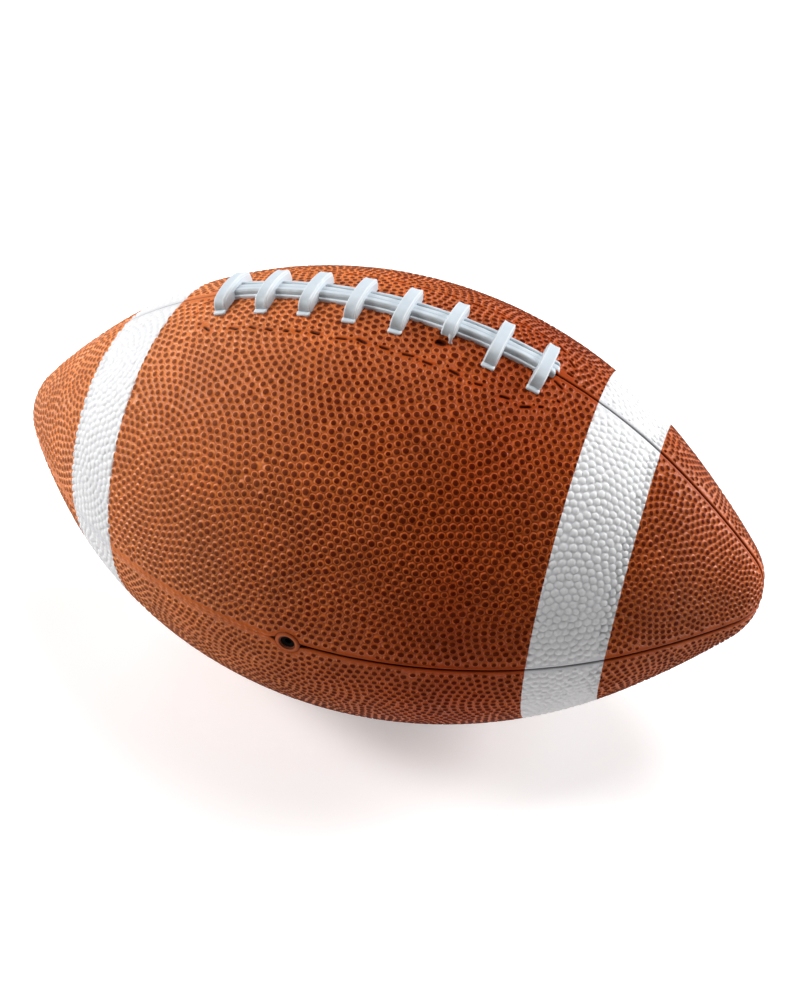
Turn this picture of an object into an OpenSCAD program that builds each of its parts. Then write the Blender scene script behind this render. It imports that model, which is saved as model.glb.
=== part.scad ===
// American football with four pebbled rubber panels over a wound carcass,
// a raised lace of eight cross bars, two white rings and a needle valve.
// The long axis is X, the laces face +Z, and the valve looks along -Y.
// The origin is on the floor, under the middle of the ball.

/* [Cover] */
// Length of the ball from nose to nose
ball_length = 284; // [260:1:310]
// Largest diameter, over the cover panels
ball_d = 162; // [145:1:180]
// Radius of the blunt nose at each end
nose_r = 24; // [18:1:30]
// Angle from the middle where the sides begin to run flatter, in degrees
shoulder_angle = 38; // [32:1:42]
// Radius of the flatter sides, as a share of the main arc's radius
shoulder_share = 1.75; // [1.3:0.05:2]
// Thickness of the cover panels
cover_t = 1.7; // [1.2:0.1:2.6]
// Width of the channel between two panels
channel_w = 2.4; // [1.8:0.1:3.6]
// Radius of the rounded edge of each panel along its channels
lip_r = 0.8; // [0.4:0.1:1.1]
// Depth of the flat that the ball's own weight presses on the floor
rest_flat = 0.3; // [0.2:0.1:0.8]

/* [Inner layers] */
// Thickness of the rubber carcass under the panels
carcass_t = 0.7; // [0.4:0.1:1.5]
// Thickness of the layer of wound nylon thread
winding_t = 0.4; // [0.3:0.1:1]
// Thickness of the bladder's wall
bladder_t = 0.6; // [0.4:0.1:1.2]

/* [White rings] */
// Distance from the middle of the ball to a ring's inner edge
ring_start = 74.7; // [66:0.1:85]
// Width of a ring along the ball
ring_w = 22.7; // [12:0.1:28]
// Depth of the white coat, which lies flush with the cover
coat_t = 0.3; // [0.2:0.05:0.5]

/* [Laces] */
// Number of cross bars
bar_count = 8; // [4:1:8]
// Distance between two cross bars, along the ball
bar_pitch = 16.1; // [12:0.1:17]
// Length of a cross bar over its end walls
bar_l = 24.4; // [20:0.1:30]
// Width of a cross bar
bar_w = 4.4; // [3.4:0.1:6]
// Height of a cross bar over the cover
bar_h = 5; // [4.2:0.1:6.5]
// Radius of a cross bar's arched top
crown_r = 40; // [28:1:60]
// Radius of the corner between a cross bar's top and its end wall
corner_r = 2.8; // [2:0.1:3.4]
// Width of the raised rim along each edge of a cross bar's top
rim_w = 0.6; // [0.4:0.1:1]
// Depth of the dished top between the two rims
dish_depth = 0.3; // [0.2:0.05:0.6]
// Width of a foot at the end of a cross bar
foot_w = 6; // [5:0.1:8]
// Length of a foot across its bar's end wall
foot_l = 2.6; // [2:0.1:4]
// Height of a foot over the cover
foot_h = 1; // [0.6:0.1:1.6]
// Width of the tongue that holds a foot in its slot
tongue_w = 3.6; // [2.4:0.1:4.6]
// Thickness of the tongue
tongue_t = 1.4; // [1:0.1:1.8]
// Gap between a tongue and its slot, on each side
slot_fit = 0.15; // [0.1:0.05:0.3]
// Width of one of the three ridges of the lengthwise lace
ridge_w = 2.1; // [1.6:0.1:2.6]
// Width of the groove between two ridges
groove_w = 0.5; // [0.3:0.1:0.9]
// Height of the ridges over the cover
ridge_h = 2.3; // [1.8:0.1:2.8]
// Height of the web that joins the ridges
web_h = 0.9; // [0.6:0.1:1.3]
// Width of the thin edge outside the outer ridges
edge_w = 0.5; // [0.3:0.1:0.9]
// Length of the lengthwise lace past the last cross bar
nub_l = 2.6; // [1.5:0.1:5]
// Gap between the lengthwise lace and the cross bars over it
lace_fit = 0.1; // [0.05:0.05:0.3]
// Cross bar whose front foot has come out of its slot, or 0 for none
lifted_bar = 6; // [0:1:8]
// Angle by which that bar stands up, in degrees
lift_angle = 8; // [4:1:12]

/* [Valve] */
// Diameter of the round boss that shows between the panels
boss_d = 7.8; // [7:0.1:10]
// Gap between the boss and the panels round it
boss_gap = 0.4; // [0.2:0.1:0.8]
// Depth of the boss's rim below the cover's surface
boss_inset = 0.3; // [0.1:0.1:0.9]
// Diameter of the hole in the boss, which holds the core
core_hole_d = 5; // [4:0.1:6]
// Gap between the core and that hole, on each side
core_fit = 0.05; // [0.03:0.01:0.1]
// Depth of the core's top below the boss's rim
core_recess = 2; // [1:0.1:3]
// Length of the core
core_l = 13; // [11:0.5:18]
// Diameter of the core's collar, inside the ball
collar_d = 8; // [6.6:0.1:9]
// Length of the core's collar
collar_l = 1.4; // [1:0.1:2.5]
// Diameter of the bore that takes the inflation needle
needle_d = 1.9; // [1.6:0.1:2.2]
// Depth of the needle's bore below the cone at its mouth
needle_depth = 8; // [6:0.5:9]
// Diameter of the cone at the bore's mouth
mouth_d = 3.6; // [3:0.1:3.8]
// Depth of that cone
mouth_depth = 1; // [0.6:0.1:1.5]
// Diameter of the valve body inside the bladder
body_d = 12; // [10:0.5:15]
// Diameter of the flange that is bonded inside the bladder
flange_d = 26; // [20:1:34]
// Thickness of that flange
flange_t = 1.2; // [0.8:0.1:2]

/* [Hidden] */

cover_colour = "#a5501f";
ring_colour = "#f2f2f0";
lace_colour = "#dfe9f2";
carcass_colour = "#7a3413";
thread_colour = "#d9cfae";
bladder_colour = "#2e2e30";
valve_colour = "#8c4420";
core_colour = "#141414";

// Facets that previews use on each kind of curve
round_fn = 72;
small_fn = 32;
fine_fn = 360;

half_l = ball_length / 2;
ball_r = ball_d / 2;
centre_z = ball_r - rest_flat;

// The profile is a main arc, a flatter shoulder arc and a nose arc, each
// tangent to the next. The main radius follows from the ball's length,
// diameter and nose, as the root of a quadratic.
flatter = shoulder_share - 1;
nose_x = half_l - nose_r;
quad_a = -2 * flatter * (1 - cos(shoulder_angle));
quad_b = 2 * nose_x * flatter * sin(shoulder_angle)
  - 2 * ball_r * (1 + flatter * cos(shoulder_angle))
  + 2 * shoulder_share * nose_r;
quad_c = nose_x ^ 2 + ball_r ^ 2 - nose_r ^ 2;
main_r = (-quad_b - sqrt(quad_b ^ 2 - 4 * quad_a * quad_c)) / (2 * quad_a);
shoulder_r = main_r * shoulder_share;
main_n = [sin(shoulder_angle), cos(shoulder_angle)];
main_c = [0, ball_r - main_r];
shoulder_c = main_c - (shoulder_r - main_r) * main_n;
nose_c = [nose_x, 0];
nose_n = (nose_c - shoulder_c) / norm(nose_c - shoulder_c);

// Depths of the layers below the cover's surface
carcass_top = cover_t;
winding_top = carcass_top + carcass_t;
bladder_top = winding_top + winding_t;
air_top = bladder_top + bladder_t;

// Size of a blank that reaches past the ball on every side
blank = 2 * ball_length;

// Lengthwise lace and cross bars
lace_half = (bar_count - 1) / 2 * bar_pitch + bar_w / 2 + nub_l;
ridge_pitch = ridge_w + groove_w;
backbone_w = 2 * ridge_pitch + ridge_w + 2 * edge_w;
crown_c = bar_h - crown_r;
corner_y = bar_l / 2 - corner_r;
corner_z = crown_c + sqrt((crown_r - corner_r) ^ 2 - corner_y ^ 2);
crown_y = corner_y * crown_r / (crown_r - corner_r);
foot_tilt = asin(bar_l / 2 / ball_r);
ground_angle = asin(bar_l / ball_r);
// How far a blank reaches below the cover before it is cut to the cover
root_l = 2 * cover_t;

// Valve, with heights measured from the ball's long axis
boss_top = ball_r - boss_inset;
core_top = boss_top - core_recess;
collar_top = core_top - core_l + collar_l;
body_top = ball_r - air_top;

// Lifts the ball so that its flat lies on the floor
module seat() {
  translate([0, 0, centre_z]) children();
}

// Turns the profile's plane so that heights point out along the valve
module valve_side() {
  rotate([90, 0, 0]) children();
}

// Half plane figure of the ball, drawn in by an inset
module half_outline(inset) {
  main_x = (main_r - inset) * main_n.x;
  shoulder_x = shoulder_c.x + (shoulder_r - inset) * nose_n.x;
  module column(from, to) {
    translate([from, 0]) square([to - from, blank]);
  }
  intersection() {
    translate(main_c) circle(r = main_r - inset, $fn = fine_fn);
    column(-main_x, main_x);
  }
  for (side = [0, 1]) mirror([side, 0]) {
    intersection() {
      translate(shoulder_c) circle(r = shoulder_r - inset, $fn = fine_fn);
      column(main_x, shoulder_x);
    }
    intersection() {
      translate(nose_c) circle(r = nose_r - inset, $fn = round_fn);
      column(nose_c.x - nose_r / 2, half_l);
    }
  }
}

// The whole ball, drawn in by an inset
module spindle(inset) {
  rotate([0, 90, 0]) rotate_extrude($fn = round_fn) rotate(90) half_outline(inset);
}

// The slice of the ball under the laces, drawn in by an inset
module lace_ground(inset) {
  rotate([0, 90, 0])
    rotate_extrude(angle = 2 * ground_angle, start = 180 - ground_angle, $fn = fine_fn)
      rotate(-90) half_outline(inset);
}

// One closed layer between two insets, open where the valve goes through
module layer(outer, inner, hole_d) {
  difference() {
    spindle(outer);
    spindle(inner);
    valve_side() cylinder(d = hole_d, h = blank, $fn = small_fn);
  }
}

// Sweeps a section along the arc of one part of the profile. The section's
// x is the height over the cover and its y points to the front.
module sweep(centre, radius, from, to) {
  translate([centre.x, 0, centre.y]) rotate([90, 0, 0]) rotate([0, 0, from])
    rotate_extrude(angle = to - from, $fn = fine_fn)
      translate([radius, 0]) children();
}

// What rounds the edge of a front panel along the seam on top
module lip_section() {
  difference() {
    translate([-lip_r, 0]) square([2 * lip_r, channel_w / 2 + lip_r]);
    translate([-lip_r, channel_w / 2 + lip_r]) circle(r = lip_r, $fn = small_fn);
  }
}

module lip_cut() {
  main_end = acos(main_n.x);
  nose_end = acos(nose_n.x);
  sweep(main_c, main_r, main_end, 180 - main_end) lip_section();
  for (side = [0, 1]) mirror([side, 0, 0]) {
    sweep(shoulder_c, shoulder_r, nose_end, main_end) lip_section();
    sweep(nose_c, nose_r, 0, nose_end) lip_section();
  }
}

// A quarter of the space round the ball, above and in front of its seams
module quarter_space(gap) {
  translate([-blank / 2, -blank - gap, gap]) cube([blank, blank, blank]);
}

// Room that the two rings take from the top of the cover
module ring_room() {
  difference() {
    for (side = [0, 1]) mirror([side, 0, 0])
      translate([ring_start, -blank / 2, -blank / 2]) cube([ring_w, blank, blank]);
    spindle(coat_t);
  }
}

// The upper front quarter of the cover. The other three are mirrored.
module quarter_cover() {
  difference() {
    intersection() {
      spindle(0);
      quarter_space(channel_w / 2);
    }
    spindle(cover_t);
    lip_cut();
    mirror([0, 1, 1]) lip_cut();
  }
}

// A quarter of the cover without its white coats and slots
module quarter_panel() {
  difference() {
    quarter_cover();
    ring_room();
  }
}

// Room for the valve's boss in the edges of the front panels
module boss_room() {
  valve_side() cylinder(d = boss_d + 2 * boss_gap, h = blank, $fn = small_fn);
}

// Cuts off what would lie below the floor
module floor_cut() {
  translate([-blank / 2, -blank / 2, -blank - centre_z]) cube(blank);
}

// Puts a piece on the cover over the lace seam, at a distance along it
module on_lace(along) {
  translate([0, 0, main_c.y]) rotate([0, along / main_r * 180 / PI, 0])
    translate([0, 0, main_r]) children();
}

function bar_place(k) = (k - (bar_count + 1) / 2) * bar_pitch;

// Places a piece at the front foot of a cross bar, square to the cover
module at_front_foot() {
  translate([0, -bar_l / 2, ball_r * (cos(foot_tilt) - 1)])
    rotate([foot_tilt, 0, 0]) children();
}

module tongue(gap) {
  translate([-tongue_w / 2 - gap, -gap, -root_l])
    cube([tongue_w + 2 * gap, tongue_t + 2 * gap, root_l + foot_h / 2]);
}

module front_slots() {
  for (k = [1 : bar_count]) on_lace(bar_place(k)) at_front_foot() tongue(slot_fit);
}

// Section of the lengthwise lace: three ridges on a web
module backbone_section(gap) {
  translate([-root_l, -backbone_w / 2 - gap])
    square([root_l + web_h + gap, backbone_w + 2 * gap]);
  for (step = [-1 : 1]) translate([0, step * ridge_pitch]) {
    translate([0, -ridge_w / 2 - gap])
      square([ridge_h - ridge_w / 2, ridge_w + 2 * gap]);
    translate([ridge_h - ridge_w / 2, 0]) circle(d = ridge_w + 2 * gap, $fn = small_fn);
  }
}

module backbone_blank(gap, extra) {
  reach = (lace_half + extra) / main_r * 180 / PI;
  sweep(main_c, main_r, 90 - reach, 90 + reach) backbone_section(gap);
}

// Side view of a cross bar, drawn in by an inset
module bar_outline(inset) {
  wall_y = bar_l / 2 - inset;
  intersection() {
    translate([0, crown_c]) circle(r = crown_r - inset, $fn = fine_fn);
    translate([-crown_y, -root_l]) square([2 * crown_y, blank]);
  }
  for (side = [-1, 1]) translate([side * corner_y, corner_z])
    circle(r = corner_r - inset, $fn = small_fn);
  translate([-wall_y, -root_l]) square([2 * wall_y, root_l + corner_z]);
}

module across(width) {
  rotate([90, 0, 90]) linear_extrude(width, center = true) children();
}

module foot_blank() {
  translate([0, 0, -root_l]) linear_extrude(root_l + foot_h) {
    square([foot_w - foot_l, foot_l], center = true);
    for (side = [-1, 1]) translate([side * (foot_w - foot_l) / 2, 0])
      circle(d = foot_l, $fn = small_fn);
  }
}

// A cross bar on the cover, without its tongues
module bar_body(k) {
  difference() {
    on_lace(bar_place(k)) {
      difference() {
        across(bar_w) bar_outline(0);
        across(bar_w - 2 * rim_w) difference() {
          translate([-bar_l, 0]) square([2 * bar_l, 2 * bar_h]);
          bar_outline(dish_depth);
        }
      }
      for (side = [0, 1]) mirror([0, side, 0]) at_front_foot() foot_blank();
    }
    backbone_blank(lace_fit, bar_pitch);
    lace_ground(0);
  }
}

// Swings a piece up about the back foot of a cross bar
module lift(k, angle) {
  on_lace(bar_place(k)) translate([0, bar_l / 2, 0]) rotate([-angle, 0, 0])
    translate([0, -bar_l / 2, 0]) take_back(k) children();
}

// Undoes on_lace() for the bar with this number
module take_back(k) {
  translate([0, 0, -main_r]) rotate([0, -bar_place(k) / main_r * 180 / PI, 0])
    translate([0, 0, -main_c.y]) children();
}

module lace_bar(k) {
  angle = k == lifted_bar ? lift_angle : 0;
  color(lace_colour) seat() {
    difference() {
      lift(k, angle) {
        bar_body(k);
        difference() {
          on_lace(bar_place(k)) at_front_foot() tongue(0);
          lace_ground(cover_t);
        }
      }
      lace_ground(angle == 0 ? cover_t : 0);
    }
    difference() {
      on_lace(bar_place(k)) mirror([0, 1, 0]) at_front_foot() tongue(0);
      lace_ground(cover_t);
    }
  }
}

module lace_backbone() {
  color(lace_colour) seat() difference() {
    backbone_blank(0, 0);
    lace_ground(0);
  }
}

module panel_upper_front() {
  color(cover_colour) seat() difference() {
    quarter_panel();
    boss_room();
    front_slots();
  }
}

module panel_upper_back() {
  color(cover_colour) seat() mirror([0, 1, 0]) difference() {
    quarter_panel();
    front_slots();
  }
}

module panel_lower_front() {
  color(cover_colour) seat() difference() {
    mirror([0, 0, 1]) quarter_panel();
    boss_room();
    floor_cut();
  }
}

module panel_lower_back() {
  color(cover_colour) seat() difference() {
    mirror([0, 1, 0]) mirror([0, 0, 1]) quarter_panel();
    floor_cut();
  }
}

// One white ring, with a piece on each of the four panels
module ring() {
  intersection() {
    for (back = [0, 1], low = [0, 1]) mirror([0, back, 0]) mirror([0, 0, low])
      quarter_cover();
    difference() {
      translate([ring_start, -blank / 2, -blank / 2]) cube([ring_w, blank, blank]);
      spindle(coat_t);
    }
  }
}

module ring_right() {
  color(ring_colour) seat() ring();
}

module ring_left() {
  color(ring_colour) seat() mirror([1, 0, 0]) ring();
}

module carcass() {
  color(carcass_colour) seat() layer(carcass_top, winding_top, boss_d);
}

module thread_winding() {
  color(thread_colour) seat() layer(winding_top, bladder_top, boss_d);
}

module bladder() {
  color(bladder_colour) seat() layer(bladder_top, air_top, boss_d);
}

module valve_housing() {
  color(valve_colour) seat() difference() {
    union() {
      valve_side() {
        cylinder(d = boss_d, h = boss_top, $fn = small_fn);
        cylinder(d = body_d, h = body_top - flange_t / 2, $fn = small_fn);
      }
      intersection() {
        difference() {
          spindle(air_top);
          spindle(air_top + flange_t);
        }
        valve_side() cylinder(d = flange_d, h = blank, $fn = small_fn);
      }
    }
    valve_side() {
      cylinder(d = core_hole_d, h = blank, $fn = small_fn);
      translate([0, 0, collar_top - blank]) cylinder(d = body_d + blank, h = blank, $fn = small_fn);
    }
  }
}

module valve_core() {
  stem_d = core_hole_d - 2 * core_fit;
  color(core_colour) seat() valve_side() difference() {
    union() {
      translate([0, 0, core_top - core_l]) {
        cylinder(d = stem_d, h = core_l, $fn = small_fn);
        cylinder(d = collar_d, h = collar_l, $fn = small_fn);
      }
    }
    translate([0, 0, core_top - mouth_depth]) {
      cylinder(d1 = needle_d, d2 = mouth_d, h = mouth_depth, $fn = small_fn);
      translate([0, 0, -needle_depth]) cylinder(d = needle_d, h = blank, $fn = small_fn);
    }
  }
}

bladder();
valve_housing();
valve_core();
thread_winding();
carcass();
panel_upper_front();
panel_upper_back();
panel_lower_front();
panel_lower_back();
ring_left();
ring_right();
lace_backbone();
for (k = [1 : bar_count]) lace_bar(k);
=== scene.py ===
"""The looks of the American football: pebbled panels, white rings, laces, valve, light and camera.

Sizes are in millimetres, with the ball's middle as origin, until a mesh is made.
The front is -Y, where the valve is. The laces are on top. A place on the ball is an arc length s
along its profile, from the middle, and an angle theta up from the front or back seam.
Every panel is made as the upper front quarter, and mirrored at the end.
A mesh's points have the columns x, y, z, relief and tone. The relief is 0 on a pebble's top,
about 1 in the valleys and 2 deep in a channel. The tone differs from pebble to pebble.
On the laces the relief column holds a painted highlight along the edges, and the tone painted
shade.
"""

import math

import bpy
import numpy as np
from mathutils import Matrix, Vector
from mathutils.geometry import delaunay_2d_cdt


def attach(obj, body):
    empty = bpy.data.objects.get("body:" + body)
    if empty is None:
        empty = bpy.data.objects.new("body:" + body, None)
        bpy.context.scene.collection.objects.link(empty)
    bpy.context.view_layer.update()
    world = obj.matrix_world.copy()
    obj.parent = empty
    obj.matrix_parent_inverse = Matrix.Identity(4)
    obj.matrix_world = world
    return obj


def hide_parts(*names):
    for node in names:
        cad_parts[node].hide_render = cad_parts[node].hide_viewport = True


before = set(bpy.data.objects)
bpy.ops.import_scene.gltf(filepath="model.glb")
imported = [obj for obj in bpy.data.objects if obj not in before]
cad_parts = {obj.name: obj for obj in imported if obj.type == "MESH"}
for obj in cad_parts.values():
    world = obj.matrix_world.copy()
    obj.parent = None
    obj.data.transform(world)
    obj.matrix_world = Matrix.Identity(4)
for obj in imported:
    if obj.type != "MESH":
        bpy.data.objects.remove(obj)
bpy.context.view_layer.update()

MM = 0.001
CENTRE_Z = 80.7

# The ball's profile, as the solids have it
BALL_LENGTH, BALL_D, NOSE_R = 284.0, 162.0, 24.0
SHOULDER_ANGLE, SHOULDER_SHARE = math.radians(38), 1.75
ARC_POINTS = 400

# Panels: the edge's distance from seam and valve, its step, the thickness, and the height of
# the smooth strip beside the channels
CREST, BOSS_CREST = 1.25, 4.8
EDGE_STEP = 1.45
COVER_T = 1.7
FLAT_H = -0.28

# Pebbles: spacing, height, and distance from the edges
PITCH = 2.78
RELIEF = 1.05
PEBBLE_GAP = 1.35
# The spacing along the ball: a little wider on the left nose, finer on the right one
PITCH_S = [-150, -100, -85, 98, 125, 150]
PITCH_SHARE = [1.07, 1.05, 1.0, 1.0, 0.9, 0.8]

# White rings, and how far their edges run in and out between tops and valleys
RING_START, RING_END = 74.7, 97.4
RING_EDGE_WAVE = 0.16

# Laces
BAR_PITCH = 16.1
BAR_COUNT = 8
BAR_FRONT, BAR_BACK = -12.0, 10.2
BAR_H, CROWN_R = 4.6, 34.0
LIFTED_BAR, LIFT = 6, math.radians(4.5)
# How far each bar stands off its even place along the ball
BAR_OFF = [1.45, 1.05, 0.75, 0.55, 0.35, 0.45, 0.25, 0.15]


def profile_table():
    """Arc length, x, radius and slope of the half profile, and the conformal coordinate."""
    ball_r, nose_x = BALL_D / 2, BALL_LENGTH / 2 - NOSE_R
    sin, cos = math.sin(SHOULDER_ANGLE), math.cos(SHOULDER_ANGLE)
    # The main arc's radius, for three arcs that meet smoothly
    flatter = SHOULDER_SHARE - 1
    a = -2 * flatter * (1 - cos)
    b = 2 * nose_x * flatter * sin - 2 * ball_r * (1 + flatter * cos) + 2 * SHOULDER_SHARE * NOSE_R
    c = nose_x**2 + ball_r**2 - NOSE_R**2
    main_r = (-b - math.sqrt(b * b - 4 * a * c)) / (2 * a)
    main_y = ball_r - main_r
    shoulder_r = main_r * SHOULDER_SHARE
    shift = shoulder_r - main_r
    shoulder_x, shoulder_y = -shift * sin, main_y - shift * cos
    nose_angle = math.atan2(nose_x - shoulder_x, -shoulder_y)
    parts = []
    for cx, cy, r, start, end in (
        (0.0, main_y, main_r, 0.0, SHOULDER_ANGLE),
        (shoulder_x, shoulder_y, shoulder_r, SHOULDER_ANGLE, nose_angle),
        (nose_x, 0.0, NOSE_R, nose_angle, math.pi / 2),
    ):
        phi = np.linspace(start, end, ARC_POINTS)
        parts.append(np.stack([cx + r * np.sin(phi), cy + r * np.cos(phi), phi], 1))
    # The arcs share their end points
    x, r, phi = np.concatenate([parts[0], parts[1][1:], parts[2][1:]]).T
    step = np.hypot(np.diff(x), np.diff(r))
    mid_r = np.maximum((r[1:] + r[:-1]) / 2, 0.2)
    s, u = (np.concatenate([[0.0], np.cumsum(v)]) for v in (step, step / mid_r))
    return s, x, r, phi, u


S_TAB, X_TAB, R_TAB, PHI_TAB, U_TAB = profile_table()


def radius_at(s):
    return np.interp(np.abs(s), S_TAB, R_TAB)


def conformal(s):
    return np.sign(s) * np.interp(np.abs(s), S_TAB, U_TAB)


def place(s, theta, h=0.0):
    """Points of the upper front quarter, at heights over the profile."""
    a = np.abs(s)
    phi = np.interp(a, S_TAB, PHI_TAB)
    x = np.interp(a, S_TAB, X_TAB) + h * np.sin(phi)
    r = np.interp(a, S_TAB, R_TAB) + h * np.cos(phi)
    return np.stack([np.sign(s) * x, -r * np.cos(theta), r * np.sin(theta)], -1)


def inside_loop(px, py, loop):
    """Which points lie in a closed loop of points."""
    inside = np.zeros(len(px), bool)
    x0, y0 = loop[-1]
    for x1, y1 in loop:
        crosses = (y0 > py) != (y1 > py)
        if y0 != y1:
            inside ^= crosses & (px < (x1 - x0) * (py - y0) / (y1 - y0) + x0)
        x0, y0 = x1, y1
    return inside


def slit_loop(s, across, length, width, turn):
    """A slit's slightly uneven outline in a top panel, at an arc across from the lace seam."""
    angles = np.radians(range(-90, 91, 30))
    end = np.stack([np.cos(angles), np.sin(angles)], 1) * width / 2
    reach = (length - width) / 2
    mid = np.array([[0.0, width / 2]])
    loop = np.concatenate([end + [reach, 0], mid, -end - [reach, 0], -mid])
    c, n = math.cos(turn), math.sin(turn)
    loop = loop @ np.array([[c, n], [-n, c]])
    loop += 0.1 * np.sin(7.3 * np.arange(len(loop)) + s)[:, None] * [1.0, 0.8]
    r = float(radius_at(s))
    return np.stack([s + loop[:, 0], math.pi / 2 - across / r + loop[:, 1] / r], 1)


def panel_border(boss):
    """A panel's edge as a closed loop, front seam first. boss is its cut-out's radius or 0."""

    def angle_off(s, reach):
        return np.arcsin(np.minimum(reach / radius_at(s), math.sqrt(0.5)))

    tip = np.interp(CREST * math.sqrt(2), R_TAB[::-1], S_TAB[::-1])
    coarse = np.linspace(-tip, tip, 2 * int(tip / EDGE_STEP) + 1)
    front = coarse
    if boss:
        bend = math.sqrt(boss**2 - CREST**2)
        clear = np.abs(coarse) > bend + 0.5
        front = np.sort([*coarse[clear], *np.linspace(-bend, bend, 15)])
    low = angle_off(front, np.sqrt(np.maximum(boss**2 - front**2, CREST**2)))
    top = coarse[::-1][1:-1]
    high = math.pi / 2 - angle_off(top, CREST)
    return np.concatenate([np.stack([front, low], 1), np.stack([top, high], 1)]), len(front)


def border_sides(border, front_count):
    """A border's side at the front seam and the one at the top, both from left to right."""
    top = [border[:1], border[front_count:][::-1], border[front_count - 1 : front_count]]
    return border[:front_count], np.concatenate(top)


def turns_left(loop):
    x, y = loop.T
    return np.sum(x * np.roll(y, -1) - np.roll(x, -1) * y) > 0


def loop_normals(loop, outward):
    """Unit directions across a loop, in millimetres along the ball and round it."""
    ds, dt = (np.roll(loop, -1, 0) - np.roll(loop, 1, 0)).T
    n = np.stack([dt * radius_at(loop[:, 0]), -ds], 1)
    n /= np.linalg.norm(n, axis=1)[:, None]
    return n if turns_left(loop) == outward else -n


def triangulate(points, loops, front_count):
    """Delaunay triangles of the conformal plane, inside the first loop and outside the others."""
    flat = np.stack([conformal(points[:, 0]), points[:, 1]], 1)
    edges, flat_loops, start = [], [], 0
    for loop in loops:
        n = len(loop)
        edges += [(start + i, start + (i + 1) % n) for i in range(n)]
        flat_loops.append(flat[start : start + n])
        start += n
    made = delaunay_2d_cdt([Vector(p) for p in flat], edges, [], 0, 1e-9)
    if len(made[0]) != len(points):
        raise ValueError("the panel's outline crosses itself")
    tris = np.array(made[2], int)
    x, y = flat[tris].mean(1).T
    front, top = border_sides(flat_loops[0], front_count)
    keep = (y > np.interp(x, *front.T)) & (y < np.interp(x, *top.T))
    for loop in flat_loops[1:]:
        keep &= ~inside_loop(x, y, loop)
    tris = tris[keep]
    a, b, c = (flat[corner].T for corner in tris.T)
    turned = (b - a)[0] * (c - a)[1] - (b - a)[1] * (c - a)[0] < 0
    tris[turned] = tris[turned][:, ::-1]
    return tris


def triangles(*faces, where=slice(None)):
    """Triangles from columns of their corners, at the chosen places."""
    return np.concatenate([np.stack(face, 1)[where] for face in faces])


def edge_list(tris):
    """Unique edges, and for each triangle the edges from corner 0 to 1, 1 to 2 and 2 to 0."""
    pairs = np.sort(np.concatenate([tris[:, [0, 1]], tris[:, [1, 2]], tris[:, [2, 0]]]), 1)
    edges, where = np.unique(pairs, axis=0, return_inverse=True)
    return edges, where.reshape(3, -1).T


def on_profile(x, r):
    """Signed arc length of the profile's nearest point."""
    far = (X_TAB - np.abs(x)[:, None]) ** 2 + (R_TAB - r[:, None]) ** 2
    return np.sign(x) * S_TAB[far.argmin(1)]


def pitch_at(s):
    return PITCH * np.interp(s, PITCH_S, PITCH_SHARE)


# Middles of the pebbles' rings, and how far each panel moves them
SWIRL_S = [-141, -105, -92, -52, -12, -8, 34, 72, 84, 112, 148]
SWIRL_ANGLE = [0.7, 1.25, 0.3, 0.75, 1.35, 0.2, 0.7, 1.3, 0.25, 0.8, 0.6]
SWIRLS, DRIFT = np.stack([SWIRL_S, SWIRL_ANGLE], 1), np.array([9, 0.12])
SWIRL_RINGS = 33
# The rings lie on a bulge: its radius as a share of the ball's, its least radius and its end
BULGE, LEAST_BULGE_R, BULGE_END = 1.15, 30.0, 1.4
# They are narrower round the ball than along it, for the same area
SQUEEZE, SQUEEZE_ROOT = 0.86, 0.93
JITTER = 0.05 * PITCH
LEAST_SPACING = 0.7


def first_seeds(rng):
    """Pebble centres in rings round several middles, as arc length and angle."""
    middles = SWIRLS + rng.uniform(-DRIFT, DRIFT, SWIRLS.shape)
    centres = place(*middles.T)
    found = []
    for k, (s, a) in enumerate(middles):
        along = place(s + 0.05, a) - centres[k]
        along /= np.linalg.norm(along)
        around = np.array([0.0, math.sin(a), math.cos(a)])
        outward = np.cross(around, along)
        outward *= np.sign(outward @ (centres[k] * [0.2, 1, 1]))
        bulge_r = max(float(radius_at(s)) * BULGE, LEAST_BULGE_R)
        pitch = float(pitch_at(s))
        for n in range(1, SWIRL_RINGS + 1):
            rho = (n - 0.45) * pitch * math.sqrt(0.75)
            count = max(3, round(2 * math.pi * rho / pitch))
            phi = rng.uniform(0, 2 * math.pi) + np.arange(count) * 2 * math.pi / count
            bend = min(rho / bulge_r, BULGE_END)
            reach, drop = bulge_r * math.sin(bend), bulge_r * (1 - math.cos(bend))
            flat = np.cos(phi)[:, None] * along + SQUEEZE * np.sin(phi)[:, None] * around
            spot = centres[k] + reach * flat / SQUEEZE_ROOT - drop * outward
            away = np.linalg.norm(spot[:, None] - centres, axis=2)
            found.append(spot[away.argmin(1) == k])
    points = np.concatenate(found)
    points += rng.normal(0, JITTER, points.shape)
    theta = np.arctan2(points[:, 2], -points[:, 1])
    s = on_profile(points[:, 0], np.hypot(points[:, 1], points[:, 2]))
    on_panel = (theta > 0) & (theta < math.pi / 2) & (np.abs(s) < S_TAB[-1] - 1)
    return thin_out(np.stack([s, theta], 1)[on_panel])


def thin_out(seeds):
    """Leaves out centres that lie too near to an earlier one."""
    p = place(*seeds.T)
    order = np.argsort(p[:, 0])
    seeds, p = seeds[order], p[order]
    gap = LEAST_SPACING * pitch_at(seeds[:, 0])
    keep = np.ones(len(p), bool)
    for i in range(len(p)):
        if keep[i]:
            last = np.searchsorted(p[:, 0], p[i, 0] + gap[i])
            near = np.linalg.norm(p[i + 1 : last] - p[i], axis=1) < gap[i]
            keep[i + 1 : last][near] = False
    return seeds[keep]


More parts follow.
